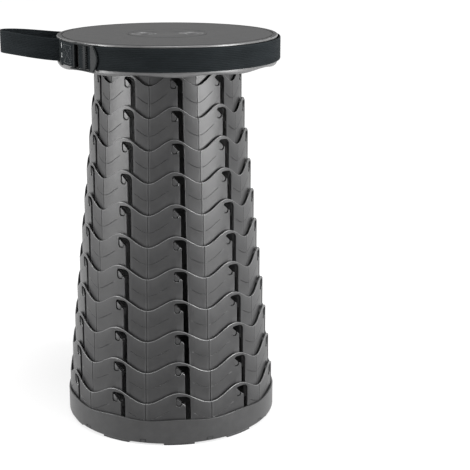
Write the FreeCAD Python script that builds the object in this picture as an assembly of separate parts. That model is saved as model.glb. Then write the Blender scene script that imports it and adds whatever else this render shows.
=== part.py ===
import FreeCAD, Part
import math
import os

from FreeCAD import Vector

# Telescopic stool, millimetres.
# The origin is on the stool's axis at floor level, +Z is up and -Y is the front.
# The solids stand as the extended stool does: each ring is one step above the next one out.

# Tower: eleven steps between twelve rings. The innermost one is the skirt ring under the seat.
stages = 11
ring_step = 35.3
folded_gap = 0.3
ring_height = 57.0
skirt_height = 53.9
wave_depth = 13.3
outer_ring_radius = 121.0
ring_wall = 2.85
ring_gap = 0.8

# Each ring has ten equal sectors, and each sector runs from one seam to the next
sectors = 10
seam_angle = 1.7
slot_offset = 23.0
pocket_offset = 18.0
panel_offset = 25.5

# Bayonet slot of each ring, and the lug of the ring inside it
slot_width = 6.0
hook_below_peak = 4.2
hook_corner = 5.0
lug_width = 5.2
lug_height = 7.8
lug_slope = 2.4
lug_above_bottom = 10.0
lug_clearance = 0.4
lug_lift_clearance = 0.2
groove_skin = 0.9

# Base tray and its feet
foot_height = 2.0
base_floor = 3.0
base_wall = 1.8
base_fit = 0.2
base_wave = 2.2
base_chamfer = 2.0
lug_window_skin = 0.5
foot_span = 17.0
foot_width = 9.0
foot_inset = 0.8

# Seat shell
seat_plate = 2.8
seat_depth = 33.6
seat_wave = 2.2
groove_wall = 1.7
groove_depth = 1.7
seat_clearance = 0.6
rim_height = 2.4
rim_chamfer = 0.9
groove_height = 25.3
lower_chamfer_width = 1.6
lower_chamfer_height = 4.0

# Under the seat: the flange that carries the inner ring, and its screws
skirt_flange_width = 12.0
skirt_flange_thickness = 3.0
seat_screw_count = 4
screw_head_radius = 3.2
screw_head_height = 2.0
screw_shank_radius = 1.5
screw_sides = 8
screw_bite = 2.0
screw_clearance = 0.12

# Finger disc in the middle of the seat
disc_radius = 45.0
disc_seam = 0.3
disc_flange_width = 8.0
disc_flange_thickness = 2.0
disc_screw_count = 3
finger_hole_radius = 12.5
finger_hole_spacing = 53.5

# Webbing around the seat
webbing_width = 25.0
webbing_thickness = 1.5
webbing_clearance = 0.15
layer_gap = 1.9
keeper_span = 3.2
keeper_angle = 19.6
keeper_thickness = 1.6
keeper_overlap = 1.4
exit_bend = 2.2
exit_margin = 0.7
handle_length = 65.0
handle_apex_radius = 18.0
tail_end_angle = 77.0
flap_end_angle = 203.0

# Ladder buckle on the webbing
buckle_start_angle = 215.0
buckle_end_angle = 232.0
buckle_rail = 2.0
buckle_rail_depth = 4.6
buckle_bar_thickness = 1.5
buckle_bar_width = 3.2
buckle_nose = 0.3
middle_bar_angle = 223.4
tab_width = 5.5
tab_thickness = 1.8
buckle_clearance = 0.2

# Worked out from the sizes above
sector_angle = 360.0 / sectors
peak_angle = seam_angle + pocket_offset
slot_angle = seam_angle + slot_offset
hook_turn = slot_angle - peak_angle
hook_angle = peak_angle + hook_turn / 2.0
ring_pitch = ring_wall + ring_gap
floor_top = foot_height + base_floor
plate_under = floor_top + stages * ring_step + skirt_height
seat_top = plate_under + seat_plate
base_radius = outer_ring_radius + base_fit + base_wall
seat_bottom = seat_top - seat_depth
base_top = seat_bottom - stages * (ring_step - folded_gap) - folded_gap
groove_top = seat_top - rim_height
groove_bottom = groove_top - groove_height
seat_bore = outer_ring_radius + seat_clearance
groove_radius = seat_bore + groove_wall
seat_radius = groove_radius + groove_depth
handle_reach = seat_radius + handle_length
webbing_low = groove_bottom + (groove_height - webbing_width) / 2.0
first_layer = groove_radius + webbing_clearance + webbing_thickness / 2.0
second_layer = first_layer + webbing_thickness + layer_gap
layer_middle = (first_layer + second_layer) / 2.0
turn_radius = (second_layer - first_layer) / 2.0

# How far a cutting tool goes past what it cuts
past = 5.0


def ring_radius(index):
    """Outer radius of a ring, counted from 0 under the seat to the last one in the base."""
    return outer_ring_radius - ring_pitch * (stages - index)


def ring_bottom(index):
    return floor_top + ring_step * (stages - index)


def polar(radius, degrees, z=0.0):
    angle = math.radians(degrees)
    return Vector(radius * math.cos(angle), radius * math.sin(angle), z)


def turned(shape, degrees):
    copy = shape.copy()
    copy.rotate(Vector(0, 0, 0), Vector(0, 0, 1), degrees)
    return copy


def pattern(shape, first, count=sectors):
    """Copies of a shape at equal angles around the axis."""
    return [turned(shape, first + 360.0 / count * i) for i in range(count)]


def polygon_face(spots):
    return Part.Face(Part.makePolygon(spots + spots[:1]))


def plate_across_x(x, outline):
    """Face across the X axis from pairs of Y and Z."""
    return polygon_face([Vector(x, y, z) for y, z in outline])


def panelled_prism(radius, bottom, height):
    """Prism with a corner at each seam, beside each slot and halfway between the two."""
    corners = []
    for i in range(sectors):
        start = seam_angle + sector_angle * i
        for offset in (0.0, panel_offset / 2.0, panel_offset):
            corners.append(polar(radius, start + offset, bottom))
    return polygon_face(corners).extrude(Vector(0, 0, height))


def wave_cutter(radius, valley, depth, upwards=True):
    """Tool that cuts one wave of an edge, centred on the X axis where the edge is cut deepest."""
    side = 1.0 if upwards else -1.0
    half = sector_angle / 2.0
    left = panel_offset - sector_angle
    right = panel_offset / 2.0
    reach = radius * math.sin(math.radians(half))
    crest = valley + side * depth
    outline = []
    for turn in (-half, left, left / 2.0, 0.0, right / 2.0, right, half):
        rise = depth * (1.0 - math.cos(math.radians(turn * sectors))) / 2.0
        outline.append((radius * math.sin(math.radians(turn)), valley + side * rise))
    outline.append((reach + 1.0, crest))
    outline.append((reach + 1.0, crest + side * past))
    outline.append((-reach - 1.0, crest + side * past))
    outline.append((-reach - 1.0, crest))
    return plate_across_x(radius - 2 * past, outline).extrude(Vector(3 * past, 0, 0))


def half_turn(radius):
    """Half the distance across from a ring's lug pocket to its slot."""
    return radius * math.sin(math.radians(hook_turn / 2.0))


def bayonet_slot(radius, bottom):
    """Tool for the hooked slot: the lug's pocket on the left, and a slot open below on the right."""
    top = bottom + ring_height - hook_below_peak
    lug_middle = bottom + ring_step + lug_above_bottom
    pocket_half = lug_width / 2.0 + lug_clearance
    pocket_low = lug_middle - lug_height / 2.0 - lug_clearance
    tongue = top - lug_height - lug_lift_clearance
    left = -half_turn(radius) - pocket_half
    right = half_turn(radius) + slot_width / 2.0
    outline = [
        (left, pocket_low),
        (left, top),
        (right - hook_corner, top),
        (right, top - hook_corner),
        (right, bottom - past),
        (right - slot_width, bottom - past),
        (right - slot_width, tongue),
        (left + 2 * pocket_half, tongue),
        (left + 2 * pocket_half, pocket_low),
    ]
    return plate_across_x(radius - 2 * past, outline).extrude(Vector(3 * past, 0, 0))


def run_depth(radius):
    """Distance from the axis to the back of the lug's run, inside a flat panel of the wall."""
    return radius * math.cos(math.radians(panel_offset / 4.0)) - groove_skin


def lug_run(radius, bottom):
    """Tool for the shallow run inside the wall, down which the inner ring's lug slides."""
    half = lug_width / 2.0 + lug_clearance
    low = bottom + lug_above_bottom - lug_height / 2.0 - lug_clearance
    high = bottom + ring_step + lug_above_bottom
    start = radius - ring_wall - past
    corner = Vector(start, -half_turn(radius) - half, low)
    return Part.makeBox(run_depth(radius) - start, 2 * half, high - low, corner)


def lug(radius, bottom, tip):
    """Lug near the foot of a ring: a level ledge below and a slope above, in the hook's frame."""
    shift = half_turn(radius + ring_pitch)
    low = bottom + lug_above_bottom - lug_height / 2.0
    root = radius - ring_wall / 2.0
    side = -lug_width / 2.0 - shift
    outline = [(root, low), (tip, low), (tip, low + lug_height - lug_slope), (root, low + lug_height)]
    face = polygon_face([Vector(x, side, z) for x, z in outline])
    return face.extrude(Vector(0, lug_width, 0))


def make_ring(index, tip, height=ring_height, wavy=True, run=True):
    radius = ring_radius(index)
    bottom = ring_bottom(index)
    ring = panelled_prism(radius, bottom, height)
    cutters = [panelled_prism(radius - ring_wall, bottom - past, height + 2 * past)]
    if wavy:
        valley = bottom + height - wave_depth
        cutters += pattern(wave_cutter(radius, valley, wave_depth), seam_angle)
    cutters += pattern(bayonet_slot(radius, bottom), hook_angle)
    if run:
        cutters += pattern(lug_run(radius, bottom), hook_angle)
    ring = ring.cut(cutters)
    return ring.fuse(pattern(lug(radius, bottom, tip), hook_angle)).removeSplitter()


def lug_tip(index):
    return run_depth(ring_radius(index + 1)) - lug_clearance


def window_depth():
    """Distance from the axis to the back of the windows in the base's wall."""
    return base_radius * math.cos(math.radians(panel_offset / 4.0)) - lug_window_skin


def moving_ring(index):
    return make_ring(index, lug_tip(index))


def outer_ring():
    """Last ring, held in the base by its lugs."""
    return make_ring(stages, window_depth() - lug_clearance)


def seat_screw_spots(z):
    radius = ring_radius(0) - ring_wall - skirt_flange_width / 2.0
    step = 360.0 / seat_screw_count
    return [polar(radius, peak_angle + step * i, z) for i in range(seat_screw_count)]


def disc_screw_spots(z):
    radius = disc_radius + disc_seam + (disc_flange_width - disc_seam) / 2.0
    step = 360.0 / disc_screw_count
    return [polar(radius, 45.0 + step * i, z) for i in range(disc_screw_count)]


def many_sided(centre, radius, sides, low, height):
    """Upright prism about a point, with its corners on a circle."""
    corners = [centre + polar(radius, 360.0 / sides * i, low) for i in range(sides)]
    return polygon_face(corners).extrude(Vector(0, 0, height))


def screw_holes(spots, low, height):
    radius = screw_shank_radius + screw_clearance
    return [many_sided(spot, radius, screw_sides, low, height) for spot in spots]


def screws(spots, head_top):
    """Hexagon-head screws that point up, as a group of separate solids with few sides."""
    length = plate_under + screw_bite - head_top
    group = []
    for spot in spots:
        head = many_sided(spot, screw_head_radius, 6, head_top - screw_head_height, screw_head_height)
        shank = many_sided(spot, screw_shank_radius, screw_sides, head_top, length)
        group.append(head.fuse(shank).removeSplitter())
    return Part.makeCompound(group)


def skirt_ring():
    """Ring under the seat, with a flange at its top that is screwed to the seat."""
    ring = make_ring(0, lug_tip(0), skirt_height, wavy=False, run=False)
    inner = ring_radius(0) - ring_wall - skirt_flange_width
    low = plate_under - skirt_flange_thickness
    flange = panelled_prism(ring_radius(0) - ring_wall, low, skirt_flange_thickness)
    flange = flange.cut(panelled_prism(inner, low - past, skirt_flange_thickness + 2 * past))
    ring = ring.fuse(flange)
    return ring.cut(screw_holes(seat_screw_spots(0), low - past, 3 * past)).removeSplitter()


def revolved(profile):
    spots = [Vector(r, 0, z) for r, z in profile]
    return polygon_face(spots).revolve(Vector(0, 0, 0), Vector(0, 0, 1), 360)


def panelled_taper(low_radius, high_radius, low, height):
    """Panelled solid whose radius changes evenly with its height."""
    ends = []
    for radius, z in ((low_radius, low), (high_radius, low + height)):
        ends.append(panelled_prism(radius, z, 1.0).Faces[-2].OuterWire)
    return Part.makeLoft(ends, True, True)


def base_tray():
    """Tray that holds the outer ring, with windows inside its wall for that ring's lugs."""
    bore = outer_ring_radius + base_fit
    wall_bottom = foot_height + base_chamfer
    body = panelled_prism(base_radius, wall_bottom, base_top - wall_bottom)
    body = body.fuse(panelled_taper(base_radius - base_chamfer, base_radius, foot_height, base_chamfer))
    cutters = [panelled_prism(bore, floor_top, base_top - floor_top + past)]
    cutters += pattern(wave_cutter(base_radius, base_top - base_wave, base_wave), seam_angle)
    reach = lug_height + 2 * lug_clearance
    width = lug_width + 2 * lug_clearance
    low = ring_bottom(stages) + lug_above_bottom - reach / 2.0
    side = -half_turn(outer_ring_radius + ring_pitch) - width / 2.0
    window = Part.makeBox(window_depth() - bore + past, width, reach, Vector(bore - past, side, low))
    cutters += pattern(window, hook_angle)
    return body.cut(cutters).removeSplitter()


def foot_pads():
    """Ten rubber pads under the base's rim, as a group of separate solids."""
    outer = base_radius - base_chamfer - foot_inset
    band = panelled_prism(outer, 0.0, foot_height)
    band = band.cut(panelled_prism(outer - foot_width, 0.0, foot_height))
    start = polar(3 * base_radius, -foot_span / 2.0)
    end = polar(3 * base_radius, foot_span / 2.0)
    wedge = polygon_face([Vector(0, 0, 0), start, end]).extrude(Vector(0, 0, foot_height))
    return Part.makeCompound([band.common(piece) for piece in pattern(wedge, peak_angle)])


def seat_shell():
    """Round top with the strap's groove round it, over a panelled skirt with a wavy lower edge."""
    hole = disc_radius + disc_seam
    profile = [
        (hole, seat_top),
        (seat_radius - rim_chamfer, seat_top),
        (seat_radius, seat_top - rim_chamfer),
        (seat_radius, groove_top),
        (groove_radius, groove_top),
        (groove_radius, groove_bottom),
        (hole, groove_bottom),
    ]
    taper_top = seat_bottom + lower_chamfer_height
    skirt = panelled_prism(seat_radius, taper_top, groove_bottom - taper_top)
    narrow = seat_radius - lower_chamfer_width
    skirt = skirt.fuse(panelled_taper(narrow, seat_radius, seat_bottom, lower_chamfer_height))
    hollow = panelled_prism(seat_bore, seat_bottom - past, plate_under - seat_bottom + past)
    cutters = [hollow]
    crest = seat_bottom + seat_wave
    cutters += pattern(wave_cutter(seat_radius, crest, seat_wave, upwards=False), seam_angle)
    spots = seat_screw_spots(0) + disc_screw_spots(0)
    cutters += screw_holes(spots, plate_under - past, past + screw_bite)
    shell = revolved(profile).fuse(skirt).cut(cutters)
    return shell.fuse(keepers()).removeSplitter()


def finger_disc():
    """Round insert of the seat, with two finger holes in it and a flange under the seat's plate."""
    low = plate_under - disc_flange_thickness
    disc = Part.makeCylinder(disc_radius, seat_top - plate_under, Vector(0, 0, plate_under))
    disc = disc.fuse(panelled_prism(disc_radius + disc_flange_width, low, disc_flange_thickness))
    spots = [Vector(side * finger_hole_spacing / 2.0, 0, low - past) for side in (-1, 1)]
    holes = [Part.makeCylinder(finger_hole_radius, seat_top - low + 2 * past, spot) for spot in spots]
    holes += screw_holes(disc_screw_spots(0), low - past, disc_flange_thickness + 2 * past)
    return disc.cut(holes)


def arc_edge(centre, radius, start, end):
    """Arc from one angle to another about a centre, the short way or the long way as the angles say."""
    spots = [centre + polar(radius, start + (end - start) * share) for share in (0.0, 0.5, 1.0)]
    return Part.Arc(*spots).toShape()


def ribbon(path, thickness, low, height):
    """Flat strip on edge along a chain of arcs, each a centre, a radius, a start and an end angle."""
    there = []
    back = []
    for centre, radius, start, end in path:
        turn = 1.0 if end > start else -1.0
        there.append(arc_edge(centre, radius - turn * thickness / 2.0, start, end))
        back.append(arc_edge(centre, radius + turn * thickness / 2.0, end, start))
    back.reverse()
    first_cap = Part.LineSegment(there[-1].lastVertex().Point, back[0].firstVertex().Point).toShape()
    last_cap = Part.LineSegment(back[-1].lastVertex().Point, there[0].firstVertex().Point).toShape()
    wire = Part.Wire(Part.__sortEdges__(there + [first_cap] + back + [last_cap]))
    strip = Part.Face(wire).extrude(Vector(0, 0, height))
    strip.translate(Vector(0, 0, low))
    return strip


def webbing_path():
    """Route of the strap: sewn flap, handle loop, once round the seat, round the buckle and back."""
    axis = Vector(0, 0, 0)
    left_bar = polar(layer_middle, buckle_start_angle)
    middle_bar = polar(layer_middle, middle_bar_angle)
    exit_angle = keeper_angle - keeper_span / 2.0 - exit_margin
    near = polar(first_layer + exit_bend, 180.0 + exit_angle)
    far = polar(first_layer + exit_bend, 180.0 - exit_angle)
    apex = Vector(-handle_reach + handle_apex_radius, 0, 0)
    spread = -near.y - exit_bend
    reach = near.x - apex.x
    narrowing = spread - handle_apex_radius
    leg_radius = (reach ** 2 + spread ** 2 - handle_apex_radius ** 2) / (2.0 * narrowing)
    near_leg = Vector(near.x, -spread + leg_radius, 0)
    far_leg = Vector(far.x, spread - leg_radius, 0)
    meet = math.degrees(math.atan2(leg_radius - spread, reach))
    return [
        (axis, second_layer, flap_end_angle, buckle_start_angle),
        (left_bar, turn_radius, buckle_start_angle, buckle_start_angle + 180.0),
        (axis, first_layer, buckle_start_angle, 180.0 + exit_angle),
        (near, exit_bend, exit_angle, 90.0),
        (near_leg, leg_radius, 270.0, 180.0 + meet),
        (apex, handle_apex_radius, 180.0 + meet, 180.0 - meet),
        (far_leg, leg_radius, 180.0 - meet, 90.0),
        (far, exit_bend, -90.0, -exit_angle),
        (axis, first_layer, 180.0 - exit_angle, middle_bar_angle - 360.0),
        (middle_bar, turn_radius, middle_bar_angle - 180.0, middle_bar_angle),
        (axis, second_layer, middle_bar_angle, 360.0 + tail_end_angle),
    ]


def webbing_strap():
    return ribbon(webbing_path(), webbing_thickness, webbing_low, webbing_width)


def shell_piece(inner, outer, low, high, start, end):
    """Piece of a tube around the axis, between two radii, two heights and two angles."""
    spots = [Vector(inner, 0, low), Vector(outer, 0, low), Vector(outer, 0, high), Vector(inner, 0, high)]
    piece = polygon_face(spots).revolve(Vector(0, 0, 0), Vector(0, 0, 1), end - start)
    return turned(piece, start)


def keepers():
    """Two bars of the seat that hold the strap down where it leaves the groove."""
    inner = first_layer + webbing_thickness / 2.0 + webbing_clearance
    outer = inner + keeper_thickness
    low = groove_bottom - keeper_overlap
    high = groove_top + rim_height - rim_chamfer
    bars = []
    for middle in (180.0 - keeper_angle, 180.0 + keeper_angle):
        start = middle - keeper_span / 2.0
        end = middle + keeper_span / 2.0
        bars.append(shell_piece(inner, outer, low, high, start, end))
        bars.append(shell_piece(groove_radius, outer, low, groove_bottom, start, end))
        bars.append(shell_piece(groove_radius, outer, groove_top, high, start, end))
    return bars


def ladder_buckle():
    """Moulded buckle: two rails, a bar in the sewn end, a bar that holds the tail, and a lift tab."""
    arc = math.degrees(1.0 / layer_middle)
    bar_inner = layer_middle - buckle_bar_thickness / 2.0
    bar_outer = layer_middle + buckle_bar_thickness / 2.0
    tab_inner = second_layer + webbing_thickness / 2.0 + buckle_clearance
    tab_outer = tab_inner + tab_thickness
    tab_start = buckle_end_angle - tab_width * arc
    low = webbing_low - buckle_clearance
    high = webbing_low + webbing_width + buckle_clearance
    nose = buckle_nose * arc
    width = buckle_bar_width * arc
    start = buckle_start_angle - width
    rail = seat_radius + webbing_clearance
    parts = [
        shell_piece(rail, rail + buckle_rail_depth, low - buckle_rail, low, start, buckle_end_angle),
        shell_piece(rail, rail + buckle_rail_depth, high, high + buckle_rail, start, buckle_end_angle),
        shell_piece(bar_inner, bar_outer, low, high, start, buckle_start_angle + nose),
        shell_piece(bar_inner, bar_outer, low, high, middle_bar_angle - nose, middle_bar_angle + width),
        shell_piece(tab_inner, tab_outer, low, high, tab_start, buckle_end_angle),
    ]
    return parts[0].fuse(parts[1:]).removeSplitter()


os.makedirs("parts", exist_ok=True)

nodes = {
    "base_tray": base_tray(),
    "foot_pads": foot_pads(),
    "outer_ring": outer_ring(),
    "seat_skirt_ring": skirt_ring(),
    "seat_shell": seat_shell(),
    "finger_disc": finger_disc(),
    "seat_screws": screws(seat_screw_spots(0), plate_under - skirt_flange_thickness),
    "disc_screws": screws(disc_screw_spots(0), plate_under - disc_flange_thickness),
    "webbing_strap": webbing_strap(),
    "ladder_buckle": ladder_buckle(),
}
for index in range(1, stages):
    nodes["ring_%02d" % index] = moving_ring(index)

for name, shape in nodes.items():
    shape.exportStep("parts/%s.step" % name)
    print(name, len(shape.Solids), "solids", round(shape.Volume / 1000.0, 2), "cm3", shape.isValid())
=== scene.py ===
import math

import bmesh
import bpy
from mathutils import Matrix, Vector


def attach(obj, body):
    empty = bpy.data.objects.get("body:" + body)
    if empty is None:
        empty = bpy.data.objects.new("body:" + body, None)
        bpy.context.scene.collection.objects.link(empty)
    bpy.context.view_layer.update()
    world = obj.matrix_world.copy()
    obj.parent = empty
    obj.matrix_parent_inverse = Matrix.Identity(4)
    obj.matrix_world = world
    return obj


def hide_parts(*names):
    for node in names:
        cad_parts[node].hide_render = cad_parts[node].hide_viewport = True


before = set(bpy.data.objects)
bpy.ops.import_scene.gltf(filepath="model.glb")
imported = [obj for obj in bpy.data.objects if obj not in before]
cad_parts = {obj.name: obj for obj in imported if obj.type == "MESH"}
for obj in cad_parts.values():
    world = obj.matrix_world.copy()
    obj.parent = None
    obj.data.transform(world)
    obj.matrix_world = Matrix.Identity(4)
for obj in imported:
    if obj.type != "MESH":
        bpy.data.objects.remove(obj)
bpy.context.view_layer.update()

# Sizes in millimetres and angles in degrees around the axis, as in the part's source. PANEL_FLATNESS,
# HANDLE_REACH, HANDLE_RISE, EXIT_RISE, MIDDLE_BAR and FLAP_END are the scene's own.
MM = 0.001
STAGES = 11
RING_STEP = 35.3
RING_HEIGHT = 57.0
SKIRT_HEIGHT = 53.9
WAVE_DEPTH = 13.3
OUTER_RING_RADIUS = 121.0
RING_WALL = 2.85
RING_PITCH = 3.65
SECTORS = 10
SECTOR_ANGLE = 36.0
SEAM_ANGLE = 1.7
POCKET_OFFSET = 18.0
HOOK_OFFSET = 20.5
SLOT_OFFSET = 23.0
PANEL_OFFSET = 25.5
PANEL_FLATNESS = 0.35
FLOOR_TOP = 5.0
PLATE_UNDER = 447.2
SEAT_TOP = 450.0
SEAT_BOTTOM = 416.4
SEAT_BORE = 121.6
SEAT_RADIUS = 125.0
GROOVE_RADIUS = 123.3
GROOVE_TOP = 447.6
GROOVE_BOTTOM = 422.3
BASE_TOP = 31.1
BASE_RADIUS = 123.0
WEBBING_LOW = 422.45
WEBBING_WIDTH = 25.0
WEBBING_THICKNESS = 1.5
FIRST_LAYER = 124.2
SECOND_LAYER = 127.6
LAYER_MIDDLE = 125.9
TURN_RADIUS = 1.7
HANDLE_REACH = 187.5
HANDLE_RISE = 8.5
EXIT_RISE = 1.6
HANDLE_APEX_RADIUS = 18.0
KEEPER_ANGLE = 19.6
EXIT_ANGLE = 17.3
EXIT_BEND = 2.2
BUCKLE_START = 215.0
MIDDLE_BAR = 220.3
TAIL_END = 437.0
FLAP_END = 202.0
DISC_RADIUS = 45.0
FINGER_HOLE_RADIUS = 12.5
FINGER_HOLE_SPACING = 53.5


# ---------------------------------------------------------------- camera
# Fitted to the rims and outlines in the photograph, with the part's sizes held and a small shift.
# The place is in metres, the turns are in radians, and the lens and the sensor are in millimetres.
SENSOR_WIDTH = 36.0
CAMERA_LENS = 94.295
CAMERA_SHIFT = (0.021277, -0.085106)
CAMERA_PLACE = (-0.055224, -1.401949, 0.600928)
CAMERA_DOWN = 0.238
CAMERA_TURN = -0.0859

camera_data = bpy.data.cameras.new("camera")
camera_data.sensor_width = SENSOR_WIDTH
camera_data.lens = CAMERA_LENS
camera_data.shift_x, camera_data.shift_y = CAMERA_SHIFT
camera = bpy.data.objects.new("camera", camera_data)
camera.location = CAMERA_PLACE
camera.rotation_euler = (math.pi / 2 - CAMERA_DOWN, 0.0, CAMERA_TURN)
bpy.context.scene.collection.objects.link(camera)
bpy.context.scene.camera = camera


# ---------------------------------------------------------------- mesh helpers
BAR_STEP = 1.5
BAR_END = 0.7
SMOOTH_SHARP = 32.0
# Points nearer than this, in metres, are one point: in a single skin, and where copies of a sector meet.
SAME_POINT = 1e-7
JOIN_DISTANCE = 2e-6


def polar(radius, degrees, z=0.0):
    angle = math.radians(degrees)
    return (radius * math.cos(angle), radius * math.sin(angle), z)


def object_from(name, points, faces, sharp=SMOOTH_SHARP):
    """Object with a mesh made of points in millimetres, smooth except at its sharp edges."""
    mesh = bpy.data.meshes.new(name)
    mesh.from_pydata([tuple(c * MM for c in p) for p in points], [], faces)
    work = bmesh.new()
    work.from_mesh(mesh)
    bmesh.ops.remove_doubles(work, verts=work.verts, dist=SAME_POINT)
    bmesh.ops.recalc_face_normals(work, faces=work.faces)
    work.to_mesh(mesh)
    work.free()
    return finished(name, mesh, sharp)


def finish_shading(obj, sharp):
    for polygon in obj.data.polygons:
        polygon.use_smooth = True
    obj.data.set_sharp_from_angle(angle=math.radians(sharp))


def apply_modifiers(obj):
    """Puts the mesh that the object's modifiers make in the place of its own."""
    graph = bpy.context.evaluated_depsgraph_get()
    mesh = bpy.data.meshes.new_from_object(obj.evaluated_get(graph))
    obj.modifiers.clear()
    old = obj.data
    obj.data = mesh
    bpy.data.meshes.remove(old)


def even_shading(obj):
    """Normals weighted by face area, so that narrow faces beside a cut don't show on a wide one."""
    even = obj.modifiers.new("even", "WEIGHTED_NORMAL")
    even.mode = "FACE_AREA"
    even.keep_sharp = True
    apply_modifiers(obj)


def finished(name, mesh, sharp):
    obj = bpy.data.objects.new(name, mesh)
    bpy.context.scene.collection.objects.link(obj)
    finish_shading(obj, sharp)
    return obj


def loft(sections, closed=False):
    """Points and faces of a skin over closed loops of equal length, capped at both ends unless it closes."""
    count = len(sections[0])
    points = [p for section in sections for p in section]
    faces = []
    last = len(sections) if closed else len(sections) - 1
    for i in range(last):
        a = i * count
        b = ((i + 1) % len(sections)) * count
        for j in range(count):
            k = (j + 1) % count
            faces.append((a + j, a + k, b + k, b + j))
    if not closed:
        faces.append(tuple(range(count)))
        faces.append(tuple(reversed(range(len(points) - count, len(points)))))
    return points, faces


def joined(parts):
    points, faces = [], []
    for some_points, some_faces in parts:
        start = len(points)
        points += some_points
        faces += [tuple(start + i for i in face) for face in some_faces]
    return points, faces


def boolean(obj, cutter, operation="DIFFERENCE"):
    """Applies an exact boolean to the object and removes the tool."""
    modifier = obj.modifiers.new("boolean", "BOOLEAN")
    modifier.operation = operation
    modifier.solver = "EXACT"
    modifier.object = cutter
    apply_modifiers(obj)
    tool = cutter.data
    bpy.data.objects.remove(cutter)
    bpy.data.meshes.remove(tool)


def rounded(corners, steps=6):
    """Closed outline from corners of x, y and rounding radius."""
    outline = []
    count = len(corners)
    for i, (x, y, radius) in enumerate(corners):
        here = Vector((x, y))
        before = (Vector(corners[i - 1][:2]) - here).normalized()
        after = (Vector(corners[(i + 1) % count][:2]) - here).normalized()
        if radius <= 0.0:
            outline.append((x, y))
            continue
        half = before.angle(after) / 2
        middle = here + (before + after).normalized() * (radius / math.sin(half))
        start = here + before * (radius / math.tan(half)) - middle
        end = here + after * (radius / math.tan(half)) - middle
        sweep = start.angle_signed(end)
        first = math.atan2(start.y, start.x)
        for j in range(steps + 1):
            angle = first - sweep * j / steps
            outline.append((middle.x + radius * math.cos(angle), middle.y + radius * math.sin(angle)))
    return outline


def grown(outline, by):
    """Outline moved outwards, for an outline that runs clockwise or the other way round."""
    area = sum(a[0] * b[1] - a[1] * b[0] for a, b in zip(outline, outline[1:] + outline[:1]))
    side = 1.0 if area > 0 else -1.0
    result = []
    count = len(outline)
    for i in range(count):
        before = Vector(outline[i]) - Vector(outline[i - 1])
        after = Vector(outline[(i + 1) % count]) - Vector(outline[i])
        normal = Vector((before.y, -before.x)).normalized() + Vector((after.y, -after.x)).normalized()
        normal.normalize()
        result.append((outline[i][0] + side * by * normal.x, outline[i][1] + side * by * normal.y))
    return result


def arc_block(inner, outer, low, high, start, end, round_off=0.5):
    """Bar along an arc with rounded edges, and ends that draw in a little."""
    steps = max(4, int(abs(end - start) / BAR_STEP))
    rounding = round_off * math.degrees(1.0 / outer)
    sections = []
    for i in range(-1, steps + 2):
        share = min(max(i, 0), steps) / steps
        angle = start + (end - start) * share
        inset = 0.0 if 0 <= i <= steps else round_off * BAR_END
        if i == 0:
            angle = start + rounding
        if i == steps:
            angle = end - rounding
        corners = [
            (inner + inset, low + inset, round_off),
            (outer - inset, low + inset, round_off),
            (outer - inset, high - inset, round_off),
            (inner + inset, high - inset, round_off),
        ]
        sections.append([polar(x, angle, z) for x, z in rounded(corners, 4)])
    return loft(sections)


# ---------------------------------------------------------------- materials
CLOUD_SCALE = 90.0
CLOUD_DETAIL = 6.0
CLOUD_ROUGHNESS = 0.65
TINT_RANGE = (0.3, 0.7)
EDGE_HIGHLIGHT_RANGE = (0.53, 0.62)
EDGE_HIGHLIGHT_SHARE = 0.6
GRAIN_DETAIL = 3.0
GRAIN_STRENGTH = 0.6


def two_tone(tree, source, span, low, high):
    """Ramp from one colour to another over a span of the source's value."""
    ramp = tree.nodes.new("ShaderNodeValToRGB")
    for element, position, colour in zip(ramp.color_ramp.elements, span, (low, high)):
        element.position = position
        element.color = (*colour, 1.0)
    tree.links.new(source, ramp.inputs["Fac"])
    return ramp.outputs["Color"]


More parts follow.
